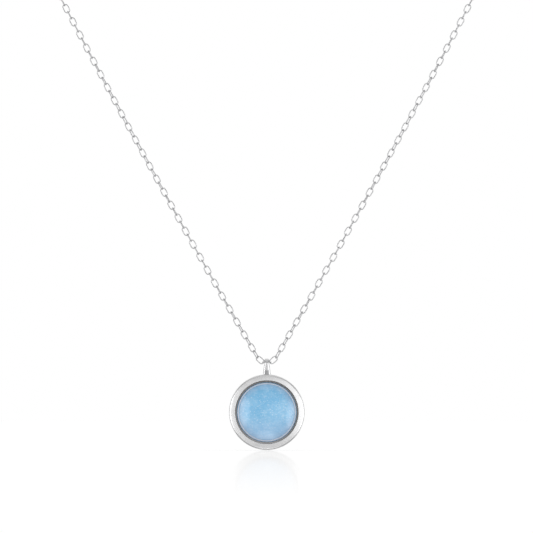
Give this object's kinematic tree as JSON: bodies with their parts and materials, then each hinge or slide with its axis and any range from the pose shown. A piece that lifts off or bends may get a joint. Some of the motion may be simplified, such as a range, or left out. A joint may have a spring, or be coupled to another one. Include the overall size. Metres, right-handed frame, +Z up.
{
  "type": "pendant necklace",
  "caption": "Pendant necklace: a round blue cabochon in a plain rim, hung by a fixed bail on a fine trace chain that closes with a bolt ring.",
  "frame": {"origin": "the middle of the wearer's neck, level with the chain behind it", "axes": "+Z up as worn, -Y the front, which the pendant faces, +X the wearer's left"},
  "size_m": [0.1176, 0.0839, 0.1274],
  "materials": {
    "satin_silver": "satin, softly rounded rim",
    "polished_silver": "polished",
    "chain_silver": "bright drawn wire",
    "spring_steel": "drawn wire",
    "cement": "matt, dark",
    "blue_stone": "polished, cloudy with pale flecks"
  },
  "bodies": {
    "neck_chain": {"neck_left": "chain_silver", "neck_right": "chain_silver", "clasp_body": "polished_silver", "clasp_spring": "spring_steel", "clasp_jump_ring": "polished_silver", "end_ring": "polished_silver"},
    "strands_top": {"strand_4_left": "chain_silver", "strand_4_right": "chain_silver"},
    "strands_upper": {"strand_3_left": "chain_silver", "strand_3_right": "chain_silver"},
    "strands_lower": {"strand_2_left": "chain_silver", "strand_2_right": "chain_silver"},
    "strands_bottom": {"strand_1_left": "chain_silver", "strand_1_right": "chain_silver", "bail_link": "chain_silver"},
    "pendant": {"bezel_rim": "satin_silver", "back_plate": "satin_silver", "stone_cement": "cement", "cabochon": "blue_stone", "bail": "polished_silver"},
    "tongue": {"clasp_tongue": "polished_silver"}
  },
  "joints": [
    {"name": "shoulder_swing", "type": "hinge", "parent": "neck_chain", "child": "strands_top", "pos_m": [0, -0.02775, -0.02407], "axis": [-1, 0, 0], "range_deg": [-20, 40]},
    {"name": "upper_bend", "type": "hinge", "parent": "strands_top", "child": "strands_upper", "pos_m": [0, -0.02775, -0.04525], "axis": [-1, 0, 0], "range_deg": [-20, 20]},
    {"name": "middle_bend", "type": "hinge", "parent": "strands_upper", "child": "strands_lower", "pos_m": [0, -0.02775, -0.06628], "axis": [-1, 0, 0], "range_deg": [-20, 20]},
    {"name": "lower_bend", "type": "hinge", "parent": "strands_lower", "child": "strands_bottom", "pos_m": [0, -0.02775, -0.08713], "axis": [-1, 0, 0], "range_deg": [-20, 20]},
    {"name": "pendant_swing", "type": "hinge", "parent": "strands_bottom", "child": "pendant", "pos_m": [0, -0.02775, -0.10649], "axis": [-1, 0, 0], "range_deg": [-90, 90]},
    {"name": "clasp_trigger", "type": "hinge", "parent": "neck_chain", "child": "tongue", "pos_m": [0.0009, 0.05287, 0], "axis": [0, -1, 0], "range_deg": [0, 60], "stiffness_Nm_per_rad": 0.003, "springref_deg": -28.65, "deforming": ["clasp_spring"]}
  ]
}
